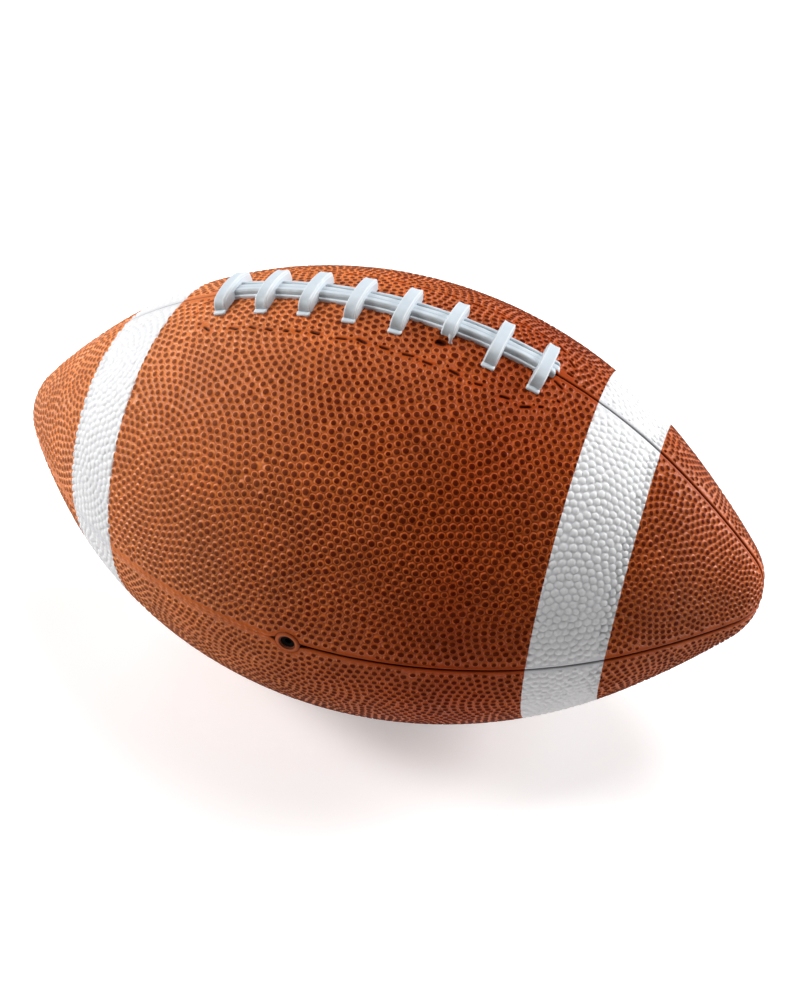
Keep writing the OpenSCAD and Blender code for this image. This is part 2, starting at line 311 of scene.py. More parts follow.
def clear_of(points, loops, front_count, gap):
    """Which points lie in the panel and a gap from its edges, or less from its holes."""
    hole_gap, hole_reach = 0.4 * gap, 8
    s, theta = points.T
    r = radius_at(s)
    front, top = border_sides(loops[0], front_count)
    keep = (theta - np.interp(s, *front.T)) * r > gap
    keep &= (np.interp(s, *top.T) - theta) * r > gap
    keep &= np.abs(s) < front[-1, 0] - gap
    for loop in loops[1:]:
        near = np.abs(s - loop[:, 0].mean()) < hole_reach
        near &= np.abs(theta - loop[:, 1].mean()) * r < hole_reach
        d_s = s[near, None] - loop[None, :, 0]
        d_t = (theta[near, None] - loop[None, :, 1]) * r[near, None]
        far = np.hypot(d_s, d_t).min(1) > hole_gap
        keep[near] &= far & ~inside_loop(s[near], theta[near], loop)
    return keep


RELAX_ROUNDS = 14
RELAX_FORCE = 0.22
# Distances in pitches: between pebbles, from a hole, and from the panel's edge along the ball
APART, OFF_HOLE = 1.12, 0.5
OFF_EDGE_S, OFF_EDGE = [-105, -90, -5, 20], [0.54, 0.72, 0.72, 0.54]


def step_on_ball(seeds, force):
    """A force in space as a step in arc length and angle."""
    s, theta = seeds.T
    phi = np.interp(np.abs(s), S_TAB, PHI_TAB)
    side = np.where(s < 0, -1.0, 1.0)
    outward = -force[:, 1] * np.cos(theta) + force[:, 2] * np.sin(theta)
    along = force[:, 0] * np.cos(phi) - side * np.sin(phi) * outward
    around = force[:, 1] * np.sin(theta) + force[:, 2] * np.cos(theta)
    return np.stack([along, around / np.maximum(radius_at(s), 1)], 1)


def relax(seeds, loops, front_count):
    """Pushes the pebbles' centres apart until they lie evenly, and clear of the edges."""
    fixed = np.concatenate(loops)
    n, outer = len(fixed), len(loops[0])
    for _ in range(RELAX_ROUNDS):
        points = np.concatenate([fixed, seeds])
        edges, _ = edge_list(triangulate(points, loops, front_count))
        p = place(*points.T)
        a, b = edges.T
        d = p[b] - p[a]
        length = np.linalg.norm(d, axis=1)
        nearest, s = edges.min(1), points[b, 0]
        off = [np.interp(s, OFF_EDGE_S, OFF_EDGE), OFF_HOLE]
        rest = np.select([nearest < outer, nearest < n], off, APART) * pitch_at(s)
        push = np.maximum(rest - length, 0) / np.maximum(length, 0.1)
        force = np.zeros_like(p)
        np.add.at(force, a, -d * push[:, None])
        np.add.at(force, b, d * push[:, None])
        moved = seeds + step_on_ball(seeds, force[n:] * RELAX_FORCE)
        good = clear_of(moved, loops, front_count, 0.55 * PEBBLE_GAP)
        seeds = np.where(good[:, None], moved, seeds)
    return seeds


def mean_spacing(points, edges):
    """Mean length of the net's edges at each point."""
    a, b = edges.T
    r = radius_at(points[:, 0])
    d_t = (points[b, 1] - points[a, 1]) * (r[a] + r[b]) / 2
    length = np.hypot(points[b, 0] - points[a, 0], d_t)
    ends = edges.T.ravel()
    count = np.bincount(ends, minlength=len(points))
    return np.bincount(ends, np.tile(length, 2), len(points)) / np.maximum(count, 1)


def column(p, h, relief, tone):
    """Mesh points at places on the ball and heights over it."""
    shades = [np.broadcast_to(shade, len(p)) for shade in (relief, tone)]
    return np.column_stack([place(*p.T, h), *shades])


# Height and relief of the valleys, by how many points round them are smooth
EDGE_H, EDGE_RELIEF = [-0.85 * RELIEF, -0.6 * RELIEF, FLAT_H], [1.0, 1.1, 1.3]
CENTRE_H = [-RELIEF, -0.75 * RELIEF, -0.4 * RELIEF, FLAT_H]
CENTRE_RELIEF = [1.05, 1.1, 1.2, 1.3]
SMOOTH_RELIEF, EVEN_TONE = 1.3, 0.5
# Rings round a pebble's top: share of the spacing, drops on coat and cover, and relief
INNER_RING = (0.26, (0.07, 0.06), 0.48)
OUTER_RING = (0.39, (0.21, 0.38), 0.8)
WIDEST_RING = 0.86
# Under the rings' coat the valleys are shallower, and the worn tops are round, not hollow
COATED_DEPTH, COATED_HOLLOW, HOLLOW = 0.54, -0.02, 0.06


def pebble_skin(loops, front_count, rng, lips):
    """A panel's points and triangles: domes on a Delaunay net, and lips down its edges."""
    seeds = first_seeds(rng)
    seeds = seeds[clear_of(seeds, loops, front_count, PEBBLE_GAP)]
    seeds = relax(seeds, loops, front_count)
    points = np.concatenate([*loops, seeds])
    total = len(points)
    tris = triangulate(points, loops, front_count)
    edges, tri_edges = edge_list(tris)
    spacing = mean_spacing(points, edges)
    flat = np.arange(total) < total - len(seeds)
    tone = np.where(flat, EVEN_TONE, rng.random(total))
    size = rng.normal(1.0, 0.06, total)
    lift = np.where(flat, FLAT_H, rng.normal(-0.03, 0.025, total))
    away = np.abs(points[:, 0])
    coated = (away > RING_START + 2) & (away < RING_END + 4)
    hollow = np.where(flat, 0.0, np.where(coated, COATED_HOLLOW, HOLLOW))

    def valleys(corners, heights, reliefs):
        """Points in the middle of edges or triangles."""
        flats = flat[corners].sum(1)
        h = np.where(coated[corners].all(1), COATED_DEPTH, 1.0) * np.choose(flats, heights)
        relief = np.choose(flats, reliefs)
        return column(points[corners].mean(1), h, relief, tone[corners].mean(1))

    def ring(owner, target, share, drops, relief):
        """Points from each owner towards a target, at a share of the owner's spacing."""
        o = points[owner]
        d = target - o
        reach = np.hypot(d[:, 0], d[:, 1] * np.maximum(radius_at(o[:, 0]), 0.5))
        f = share * spacing[owner] * size[owner] / np.maximum(reach, 0.05)
        down = np.where(coated[owner], *drops) * RELIEF
        p = o + d * np.minimum(f, WIDEST_RING)[:, None]
        return column(p, lift[owner] - down, relief, tone[owner])

    corner, centre = tris.ravel(), np.repeat(points[tris].mean(1), 3, 0)
    rows = [
        column(points, lift - hollow, np.where(flat, SMOOTH_RELIEF, 0.0), tone),
        valleys(edges, EDGE_H, EDGE_RELIEF),
        valleys(tris, CENTRE_H, CENTRE_RELIEF),
        ring(corner, centre, *INNER_RING),
        ring(corner, centre, *OUTER_RING),
        ring(edges.ravel(), np.repeat(points[edges].mean(1), 2, 0), *OUTER_RING),
    ]
    starts = np.cumsum([len(row) for row in rows])
    faces = net_faces(tris, edges, tri_edges, flat, starts[:-1])
    lip_verts, lip_tris = lip_strips(loops, lips, edges, total, starts[-1])
    return np.concatenate([*rows, lip_verts]), np.concatenate([faces, lip_tris])


def net_faces(tris, edges, tri_edges, flat, starts):
    """Triangles on the net. starts has the first number of each kind of point on it."""
    edge_at, tri_at, inner_at, outer_at, spoke_at = starts
    faces = []

    def spoke(edge, owner):
        return spoke_at + 2 * edge + (edges[edge, 1] == owner)

    # Each triangle's three corners, which share their edge spokes
    t = np.arange(len(tris))
    for k in range(3):
        owner = tris[:, k]
        dome = ~flat[owner]
        e_out, e_in = tri_edges[:, k], tri_edges[:, (k + 2) % 3]
        m_out, m_in, g = edge_at + e_out, edge_at + e_in, tri_at + t
        faces.append(triangles((owner, m_out, g), (owner, g, m_in), where=~dome))
        s_out, s_in = spoke(e_out, owner), spoke(e_in, owner)
        inner, outer = inner_at + 3 * t + k, outer_at + 3 * t + k
        on_dome = [(inner, s_out, outer), (inner, outer, s_in), (s_out, m_out, g)]
        on_dome += [(s_out, g, outer), (outer, g, m_in), (outer, m_in, s_in)]
        faces.append(triangles(*on_dome, where=dome))
    # Across each edge, the inner rings of the two triangles meet
    order = np.argsort(tri_edges.ravel(), kind="stable")
    sorted_edges = tri_edges.ravel()[order]
    same = np.nonzero(sorted_edges[1:] == sorted_edges[:-1])[0]
    (t1, k1), (t2, k2) = np.divmod(order[same], 3), np.divmod(order[same + 1], 3)
    # Edge k of a triangle runs from corner k to k + 1, and the other way in its neighbour
    for own1, own2, turn in ((k1, (k2 + 1) % 3, [0, 1, 2]), ((k1 + 1) % 3, k2, [0, 2, 1])):
        owner = tris[t1, own1]
        a, b = inner_at + 3 * t1 + own1, inner_at + 3 * t2 + own2
        across = ((owner, b, a), (a, b, spoke(sorted_edges[same], owner)))
        faces.append(triangles(*across, where=~flat[owner])[:, turn])
    return np.concatenate(faces)


def with_middles(loop):
    """A loop's rows, with the middles of its edges between them."""
    return np.stack([loop, (loop + np.roll(loop, -1, 0)) / 2], 1).reshape(-1, 2)


def lip_strips(loops, lips, edges, edge_at, at):
    """Points and triangles of the lips, grooves and slots that run down from the loops."""
    verts, tris, start = [], [], 0
    key = edges[:, 0] * edge_at + edges[:, 1]
    for loop, shape in zip(loops, lips):
        outward = start == 0
        own = start + np.arange(len(loop))
        low, high = np.sort([own, np.roll(own, -1)], 0)
        found = np.searchsorted(key, low * edge_at + high)
        ids = np.stack([own, edge_at + found], 1).ravel()
        normal = with_middles(loop_normals(loop, outward))
        normal /= np.linalg.norm(normal, axis=1)[:, None]
        line = with_middles(loop)
        r = np.maximum(radius_at(line[:, 0]), 1.0)
        for out, h, relief in shape(line):
            s, theta = line[:, 0] + out * normal[:, 0], line[:, 1] + out * normal[:, 1] / r
            verts.append(column(np.stack([s, theta], 1), h, relief, EVEN_TONE))
            new = at + np.arange(len(line))
            at += len(line)
            nxt, new_nxt = np.roll(ids, -1), np.roll(new, -1)
            strip = triangles((ids, new, new_nxt), (ids, new_nxt, nxt))
            tris.append(strip if turns_left(loop) == outward else strip[:, ::-1])
            ids = new
        start += len(loop)
    return np.concatenate(verts), np.concatenate(tris)


def split(verts, tris, field):
    """Cuts the triangles where the field is zero. Returns points and triangles."""
    code = (field >= 0)[tris]
    mixed = np.isin(code.sum(1), (1, 2))
    cut, code = tris[mixed], code[mixed]
    # First the corner that is alone on its side
    lone = np.argmax(code == (code.sum(1) == 1)[:, None], 1)
    a, b, c = (cut[np.arange(len(cut)), (lone + k) % 3] for k in range(3))
    pairs = np.sort([np.tile(a, 2), np.concatenate([b, c])], 0).T
    unique, where = np.unique(pairs, axis=0, return_inverse=True)
    start, end = unique.T
    share = (field[start] / (field[start] - field[end]))[:, None]
    new = verts[start] * (1 - share) + verts[end] * share
    ab, ac = len(verts) + where.reshape(2, -1)
    made = triangles((a, ab, ac), (ab, b, c), (ab, c, ac))
    return np.concatenate([verts, new]), np.concatenate([tris[~mixed], made])


def take(verts, tris, chosen):
    """The chosen triangles with only the points that they use."""
    tris = tris[chosen]
    used, where = np.unique(tris, return_inverse=True)
    return verts[used], where.reshape(-1, 3)


def add_object(name, data):
    obj = bpy.data.objects.new(name, data)
    bpy.context.scene.collection.objects.link(obj)
    return obj


def make_mesh(name, verts, tris):
    """A smooth mesh object from points (x, y, z, relief, tone) in millimetres."""
    mesh = bpy.data.meshes.new(name)
    mesh.vertices.add(len(verts))
    co = verts[:, :3].copy()
    co[:, 2] = np.maximum(co[:, 2] + CENTRE_Z, 0.0)
    mesh.vertices.foreach_set("co", (co * MM).astype(np.float32).ravel())
    mesh.loops.add(3 * len(tris))
    mesh.loops.foreach_set("vertex_index", tris.astype(np.int32).ravel())
    mesh.polygons.add(len(tris))
    mesh.polygons.foreach_set("loop_start", np.arange(0, 3 * len(tris), 3, dtype=np.int32))
    mesh.update(calc_edges=True)
    mesh.validate()
    mesh.shade_smooth()
    for k, key in ((3, "relief"), (4, "tone")):
        layer = mesh.attributes.new(key, "FLOAT", "POINT")
        layer.data.foreach_set("value", verts[:, k].astype(np.float32))
    return add_object(name, mesh)


# Along the ball: a lip's reach into its channel (2 is the seam's plane), the channel's depth,
# and the height of the small bumps where it is filled
SEAM_S = [-155, -97, -76, -40, -14, -6.4, -4.9, 5.5, 9, 22, 60, 78, 97, 155]
FRONT_UPPER = [1.75, 1.85, 1.9, 2.0, 2.0, 2.0, 0.8, 0.8, 1.1, 1.15, 1.4, 1.6, 1.45, 1.2]
FRONT_LOWER = [1.95, 2.0, 2.05, 2.1, 2.1, 2.1, 0.8, 0.8, 1.5, 1.65, 1.75, 1.85, 1.65, 1.45]
FRONT_DEPTH = [0.7, 0.4, 0.25, 0.08, 0.08, 0.12, 0.7, 0.9, 0.8, 0.5, 0.7, 0.6, 0.8, 1.0]
FRONT_BUMPS = [0.25, 0.3, 0.4, 0.5, 0.5, 0.25] + [0.0] * 8
LACE_FRONT = [2.0, 2.0, 1.9, 2.0] + [2.1] * 6 + [1.6, 1.65, 1.5, 1.45]
LACE_BACK = [1.6] * 10 + [1.5, 1.45, 1.2, 1.1]
LACE_DEPTH = [0.6] + [0.4] * 9 + [0.6, 0.6, 1.0, 1.0]
PLAIN_DEPTH = [0.8, 0.7, 0.5] + [0.8] * 8 + [0.5, 0.7, 0.8]
NO_BUMPS = [0.0] * len(SEAM_S)
PLAIN_SEAM = ([1.85] * len(SEAM_S), PLAIN_DEPTH, NO_BUMPS)
# A lip's section: shares of its reach and of the depth, and relief
LIP_SHAPE = [
    (0.2, -0.01, 1.3),
    (0.45, -0.05, 1.34),
    (0.7, -0.14, 1.4),
    (0.86, -0.34, 1.55),
    (0.95, -0.65, 1.8),
    (1.0, -1.15, 2.0),
]
# Sections of the stitch grooves and of the slot: reach, height and relief
GROOVE_ROWS = [(0.14, -0.4, 1.55), (0.3, -0.65, 1.8), (0.42, -0.8, 1.95), (0.5, -0.85, 2.0)]
SLOT_ROWS = [(0.15, -0.2, 1.5), (0.3, -0.6, 1.8), (0.35, -COVER_T, 2.0)]
# A channel shallower than this is filled, and its relief comes nearer to this one
FILLED_DEPTH, FILLED_RELIEF = 0.4, 1.2


def border_lips(line, front_count, front, top):
    """The lips down a panel's two long edges. front and top are (reach, depth, bumps) tables."""
    on_front = np.arange(len(line)) < 2 * front_count - 1
    s = line[:, 0]
    reach, depth, bumps = (
        np.where(on_front, np.interp(s, SEAM_S, a), np.interp(s, SEAM_S, b))
        for a, b in zip(front, top)
    )
    filled = 1 - np.clip(depth / FILLED_DEPTH, 0, 1)
    for share, h, relief in LIP_SHAPE:
        wave = np.cos(s * 2.25 + 0.9 * np.sin(s * 0.31)) + 0.5 * np.cos(s * 3.6 + 4.0 * share)
        bump = np.clip(1.4 * wave, 0, 1) * np.clip(bumps * 3, 0, 1)
        bump *= math.sin(math.pi * min(share / 0.9, 1.0))
        # The relief sets the lip's painted shade: darker down a deep channel, less where the
        # channel is filled
        lip_relief = relief + (FILLED_RELIEF - relief) * filled
        yield share * reach * CREST / 2, FLAT_H + h * depth + bumps * bump, lip_relief - 0.4 * bump


# Imitation stitches round the laces: place along the ball, and arc from the lace seam
BACK_ROW = [-51.6, -44.4, -36.4, -26.8, -18.7, -10.8, -1.2, 8.4, 17.3, 26.4, 35.0, 43.6, 51.5]
FRONT_ROW = [-45.4, -38.3, -32.0, -25.8, -21.8, -15.9, -6.6, 0.1, 7.8, 15.8, 22.4, 31.5, 39.9, 48.9]
BACK_ARC, FRONT_ARC = 20.3, 20.2
STITCH_LENGTH, STITCH_WIDTH, STITCH_GAP = (3.4, 4.7), (1.2, 1.7), 1.5
STITCH_DRIFT, STITCH_TURN = 0.45, 0.2
# Stitches that turn the corners: place, arc, length and turn
FRONT_TURNS = [
    (63.2, 4.3, 4.6, -0.39),
    (65.2, 10.9, 2.0, -0.28),
    (56.1, 20.0, 4.4, 0.5),
    (60.6, 16.9, 2.4, 0.4),
]
BACK_TURNS = [(58.9, 17.5, 4.8, 0.68), (64.3, 10.9, 4.4, 0.78), (65.2, 3.9, 3.0, 0.0)]
TURN_WIDTH = 1.4
# The lifted bar's empty slot: place, arc, length, width and turn
FOOT_SLOT = (23.5, 10.5, 4.2, 3.2, 0.1)


def stitches(places, arc, turns, seed):
    """Stitch slits in a top panel, as (outline, section): a row, and its turns at both ends."""
    rng = np.random.default_rng(seed)
    loops = []
    for x in places:
        apart = min(abs(x - other) for other in places if other != x)
        length = min(rng.uniform(*STITCH_LENGTH), apart - STITCH_GAP)
        across = arc + rng.uniform(-STITCH_DRIFT, STITCH_DRIFT)
        width, turn = rng.uniform(*STITCH_WIDTH), rng.uniform(-STITCH_TURN, STITCH_TURN)
        loops.append(slit_loop(x, across, length, width, turn))
    for x, across, length, turn in turns:
        for side in (1, -1):
            loops.append(slit_loop(side * x, across, length, TURN_WIDTH, side * turn))
    return [(loop, GROOVE_ROWS) for loop in loops]


def ring_place(points):
    """How far points lie from the ball's middle, as the edges of the rings see it."""
    return np.abs(points[:, 0]) + RING_EDGE_WAVE * (np.minimum(points[:, 3], 1.0) - 0.5)


def build_panel(name, flip_y, flip_z, boss, holes, seams, seed):
    """One panel's skin, split into its cover and its pieces of the two rings."""
    border, front_count = panel_border(boss)
    loops = [border] + [loop for loop, _ in holes]
    lips = [lambda line: border_lips(line, front_count, *seams)]
    lips += [lambda line, rows=rows: rows for _, rows in holes]
    verts, tris = pebble_skin(loops, front_count, np.random.default_rng(seed), lips)
    for limit in (RING_START, RING_END):
        verts, tris = split(verts, tris, ring_place(verts) - limit)
    verts[:, 1] *= flip_y
    verts[:, 2] *= flip_z
    if flip_y * flip_z < 0:
        tris = tris[:, ::-1]
    middle = verts[tris].mean(1)
    in_ring = (ring_place(middle) > RING_START) & (ring_place(middle) < RING_END)
    cover = make_mesh(name, *take(verts, tris, ~in_ring))
    rings = [take(verts, tris, in_ring & (middle[:, 0] * side > 0)) for side in (-1, 1)]
    return cover, rings


FRONT_HOLES = stitches(FRONT_ROW, FRONT_ARC, FRONT_TURNS, 5) + [(slit_loop(*FOOT_SLOT), SLOT_ROWS)]
BACK_HOLES = stitches(BACK_ROW, BACK_ARC, BACK_TURNS, 6)
UPPER_FRONT = ((FRONT_UPPER, FRONT_DEPTH, FRONT_BUMPS), (LACE_FRONT, LACE_DEPTH, NO_BUMPS))
UPPER_BACK = (PLAIN_SEAM, (LACE_BACK, LACE_DEPTH, NO_BUMPS))
LOWER_FRONT = ((FRONT_LOWER, FRONT_DEPTH, FRONT_BUMPS), PLAIN_SEAM)
# Signs of y and z, the boss's cut-out, holes, seams at the girth and beyond, and a seed
PANELS = {
    "panel_upper_front": (1, 1, BOSS_CREST, FRONT_HOLES, UPPER_FRONT, 11),
    "panel_upper_back": (-1, 1, 0, BACK_HOLES, UPPER_BACK, 23),
    "panel_lower_front": (1, -1, BOSS_CREST, [], LOWER_FRONT, 37),
    "panel_lower_back": (-1, -1, 0, [], (PLAIN_SEAM, PLAIN_SEAM), 53),
}


# Radius of the profile's long middle arc
MAIN_R = float(X_TAB[ARC_POINTS // 2] / math.sin(PHI_TAB[ARC_POINTS // 2]))
# The lengthwise lace's half length, to past the last bars
LACE_HALF = (BAR_COUNT - 1) / 2 * BAR_PITCH + 4.8


def over_lace(along, aside, y, z, edge, painted_shade):
    """Points over the lace seam: place along it, step aside, way to the back, height, and the
    painted highlight and painted shade.
    """
    a = np.broadcast_to(along, np.shape(y)) / MAIN_R
    x = np.sin(a) * (MAIN_R + z) + np.cos(a) * aside
    up = BALL_D / 2 - MAIN_R + np.cos(a) * (MAIN_R + z) - np.sin(a) * aside
    return np.stack(np.broadcast_arrays(x, y, up, edge, painted_shade), -1)


def ground(y):
    """Height of the cover off the lace seam."""
    return np.sqrt((BALL_D / 2) ** 2 - y * y) - BALL_D / 2


def grid_faces(rows, columns, closed=False):
    """Triangles of a grid of points that lie row after row."""
    steps = np.arange(columns if closed else columns - 1)
    j, i = np.meshgrid(np.arange(rows - 1), steps, indexing="ij")
    a = (j * columns + i).ravel()
    b = (j * columns + (i + 1) % columns).ravel()
    return triangles((a, b, b + columns), (a, b + columns, a + columns))


def circle(count):
    """Angles round a full turn."""
    return np.linspace(0, 2 * math.pi, count + 1)[:-1]


def joined(pieces):
    verts, tris, start = [], [], 0
    for v, t in pieces:
        verts.append(v)
        tris.append(t + start)
        start += len(v)
    return np.concatenate(verts), np.concatenate(tris)


BACK_CORNER, FRONT_CORNER = 3.5, 4.0


def bar_outline(front, foot_z, inset):
    """Side view of a cross bar from its back foot over the crown to its front foot."""
    crown, centre = CROWN_R - inset, BAR_H - CROWN_R
    points = []
    for side, reach, corner in ((1, BAR_BACK, BACK_CORNER), (-1, -front, FRONT_CORNER)):
        mid_y = reach - corner
        mid_z = centre + math.sqrt((CROWN_R - corner) ** 2 - mid_y**2)
        turn = np.linspace(0, math.atan2(mid_z - centre, mid_y), 12)
        r = max(corner - inset, 0.3)
        end = np.stack([side * (mid_y + r * np.cos(turn)), mid_z + r * np.sin(turn)], 1)
        wall = np.stack([np.full(4, side * (reach - inset)), np.linspace(foot_z, mid_z, 5)[:-1]], 1)
        points.append(np.concatenate([wall, end]))
    y = np.linspace(points[0][-1, 0], points[1][-1, 0], 20)[1:-1]
    top = np.stack([y, centre + np.sqrt(crown**2 - y * y)], 1)
    return np.concatenate([points[0], top, points[1][::-1]])


# Section of a cross bar: step off its middle, inset from its outline, and painted highlight on its
# edges
BAR_SECTION = [
    (2.22, 1.25, 0.3),
    (2.2, 1.05, 0.9),
    (2.05, 0.9, 0.1),
    (1.98, 0.55, 0.2),
    (1.93, 0.3, 0.8),
    (1.85, 0.1, 1.0),
    (1.68, 0.0, 0.9),
    (1.45, 0.03, 0.1),
    (1.1, 0.1, 0.0),
    (0.5, 0.14, 0.0),
]
BAR_MIDDLE = (0.0, 0.15, 0.0)
# The last number is the painted highlight on the bars' base rows
BAR_BASE, BASE_SINK, BASE_HIGHLIGHT = 2.3, 0.25, 0.2
SEATED_Z, LIFTED_Z, LIFTED_SHORT = -1.2, -0.1, 2.4
# A bar narrows by this share over its last stretch at the back
BACK_NARROWING, BACK_STRETCH = 0.22, 1.5
# Painted shade on the bars grows from this far in front of the lace seam, over this length, towards
# their front ends
SHADE_FROM, SHADE_LENGTH = 5.0, 7.0

# A seated foot: half sizes, corner, place and height, and its edge as inset, height and painted
# highlight
FOOT_HALF_X, FOOT_HALF_Y, FOOT_CORNER = 2.3, 1.1, 0.75
FOOT_Y, FOOT_H = BAR_FRONT - 0.2, 0.4
FOOT_SECTION = [(0, -0.4, 0), (0, 0, 0.6), (0.08, 0.2, 0.9), (0.3, 0.4, 0.8), (0.6, 0.5, 0.3)]
# The feet get a little painted shade
FOOT_SHADE = 0.1

# The lifted bar's hanging tongue: way to the back, height and half sizes
TONGUE = [
    (-8.9, 2.6, 0.95, 0.5),
    (-9.4, 1.7, 0.85, 0.45),
    (-9.6, 0.9, 0.6, 0.4),
    (-9.5, 0.2, 0.5, 0.4),
    (-9.3, -0.6, 0.7, 0.4),
    (-9.2, -1.0, 0.4, 0.3),
]


def build_foot(along):
    """A small slab with round corners that lies on the cover."""
    turn = circle(24)
    cx, cy = np.cos(turn), np.sin(turn)
    verts = []
    for inset, h, edge in FOOT_SECTION:
        r = FOOT_CORNER - inset
        x = np.sign(cx) * (FOOT_HALF_X - FOOT_CORNER) + r * cx
        y = FOOT_Y + np.sign(cy) * (FOOT_HALF_Y - FOOT_CORNER) + r * cy
        verts.append(over_lace(along, x, y, ground(y) + h, edge, FOOT_SHADE))
    y = np.array([FOOT_Y])
    verts.append(over_lace(along, 0.0, y, ground(y) + FOOT_H, 0.2, FOOT_SHADE))
    rows, n = len(FOOT_SECTION), len(turn)
    last = (rows - 1) * n + np.arange(n)
    cap = triangles((last, np.roll(last, -1), np.full(n, rows * n)))
    return np.concatenate(verts), np.concatenate([grid_faces(rows, n, closed=True), cap])


def build_tongue(along):
    turn = circle(12)
    rows = []
    for i, (y, z, half_x, half_y) in enumerate(TONGUE):
        x = 1.35 + 0.12 * i + half_x * np.cos(turn)
        # The hanging tongue is whitened all over by painted highlight
        rows.append(over_lace(along, x, y + half_y * np.sin(turn), z, 0.9, 0.0))
    return np.concatenate(rows), grid_faces(len(rows), len(turn), closed=True)


def build_bar(k):
    """One cross bar. The lifted one's front foot is out of its slot, and its tongue hangs down."""
    along = (k - (BAR_COUNT + 1) / 2) * BAR_PITCH + BAR_OFF[k - 1]
    lifted = k == LIFTED_BAR
    front, foot_z, angle = BAR_FRONT, SEATED_Z, 0.0
    if lifted:
        front, foot_z, angle = BAR_FRONT + LIFTED_SHORT, LIFTED_Z, LIFT

    def put(aside, y, z, edge):
        painted_shade = np.clip((-y - SHADE_FROM) / SHADE_LENGTH, 0, 1)
        narrow = np.clip((y - BAR_BACK + BACK_STRETCH) / BACK_STRETCH, 0, 1) ** 2
        aside = aside * (1 - BACK_NARROWING * narrow)
        from_back = y - BAR_BACK
        y2 = BAR_BACK + from_back * math.cos(angle)
        z2 = z * math.cos(angle) - from_back * math.sin(angle)
        return over_lace(along, aside, y2, z2, edge, painted_shade)

    inner = bar_outline(front, foot_z, BAR_SECTION[0][1])
    base_z = np.minimum(ground(inner[:, 0]) - (0.0 if lifted else BASE_SINK), inner[:, 1])
    rows = [put(BAR_BASE, inner[:, 0], base_z, BASE_HIGHLIGHT)]
    other_half = [(-x, d, e) for x, d, e in BAR_SECTION[::-1]]
    for aside, inset, edge in BAR_SECTION + [BAR_MIDDLE] + other_half:
        line = bar_outline(front, foot_z, inset)
        rows.append(put(aside, *line.T, edge))
    rows.append(put(-BAR_BASE, inner[:, 0], base_z, BASE_HIGHLIGHT))
    n = len(inner)
    i = np.arange(n - 1)
    last = (len(rows) - 1) * n + i
    under = triangles((i + 1, i, last), (i + 1, last, last + 1))
    bar = (np.concatenate(rows), np.concatenate([grid_faces(len(rows), n), under]))
    return joined([bar, build_tongue(along) if lifted else build_foot(along)])


# Ridges of the lengthwise lace: middle, half width, height, shift of the right end, phase of
# its small waves, and height of the front and back foot
RIDGES = [
    (2.8, 0.95, 2.1, 0.0, 0.4, 0.4, 0.3),
    (0.25, 1.5, 2.3, 0.55, 2.1, 2.0, 0.3),
    (-2.3, 1.5, 2.2, -0.35, 4.0, 0.25, 1.95),
]
FINGER, ROUNDNESS = 1.3, 2.6
# Section of the web under the ridges: way to the back, height and painted highlight
WEB_Y = np.array([-4.4, -4.42, -4.3, -4.0, 4.0, 4.3, 4.42, 4.4])
WEB_Z = np.array([-0.6, 0.35, 0.62, 0.72, 0.72, 0.62, 0.35, -0.6])
WEB_HIGHLIGHT = np.array([0, 0.8, 1, 0.5, 0.5, 1, 0.8, 0])


def build_backbone():
    """The lengthwise lace: three ridges on a web, which end in round fingers."""
    pieces = []

    def add(x, y, z, highlight, painted_shade):
        verts = over_lace(x[:, None], 0.0, y, z, highlight, painted_shade)
        pieces.append((verts.reshape(-1, 5), grid_faces(*y.shape)[:, ::-1]))

    left, right = -LACE_HALF + 2.8, LACE_HALF
    span = right - left
    inner, tip = FINGER + 0.9, np.linspace(0, FINGER, 9)
    t = np.concatenate([tip, np.linspace(inner, span - inner, 120), span - tip[::-1]])
    inward = np.minimum(np.minimum(t, span - t) / FINGER, 1)
    shrink = np.sqrt(np.clip(1 - (1 - inward) ** 2, 0.0004, 1))[:, None]
    u = np.linspace(-1, 1, 15)
    shape = (1 - np.abs(u) ** ROUNDNESS) ** (1 / ROUNDNESS)
    for mid, half, top, end, phase, front_low, back_low in RIDGES:
        x = left + t * (span + end) / span
        low = np.where(u < 0, front_low, back_low)
        sway = 0.07 * np.sin(x / 4.7 + phase) + 0.05 * np.sin(x / 1.9 + 2 * phase)
        rise = 0.04 * np.sin(x / 3.1 + phase)
        y = mid + sway[:, None] + half * shrink * u
        z = low * shrink + (top - low + rise[:, None]) * shrink * shape
        # Painted shade lies in the grooves between the ridges and down the front ridge's front
        # side, and a little painted highlight along their tops
        painted_shade = -u * 2.4 if mid < 0 else (u if mid < 1 else np.abs(u)) * 3 - 2.0
        add(x, y, z, np.where(np.abs(u) < 0.3, 0.2, 0.0), np.clip(painted_shade, 0, 1))
    x = np.linspace(left + 1.2, right - 2.5, 90)
    y = WEB_Y + 0.08 * np.sin(x / 3.3)[:, None] * np.sign(WEB_Y)
    add(x, y, WEB_Z, WEB_HIGHLIGHT, 0.0)
    return joined(pieces)


# Section of the valve's rim: radius, height over the ball and relief
VALVE_RIM = [
    (1.05, -0.95, 2.0),
    (2.0, -0.9, 2.0),
    (2.5, -0.78, 2.0),
    (2.64, -0.55, 2.0),
    (2.74, -0.3, 1.9),
    (2.88, -0.06, 1.3),
    (3.05, 0.06, 0.3),
    (3.3, 0.1, 0.0),
    (3.6, 0.05, 0.3),
    (3.95, -0.06, 0.7),
    (4.25, -0.25, 0.9),
    (4.3, -0.9, 1.2),
]


def build_valve_rim():
    """The soft raised rim round the valve's opening."""
    turn = circle(64)
    verts = []
    for r, h, relief in VALVE_RIM:
        x, z = r * np.cos(turn), r * np.sin(turn)
        y = -(np.sqrt((BALL_D / 2) ** 2 - z * z) - x * x / (2 * MAIN_R) + h)
        verts.append(np.stack(np.broadcast_arrays(x, y, z, relief, EVEN_TONE), -1))
    return np.concatenate(verts), grid_faces(len(VALVE_RIM), len(turn), closed=True)


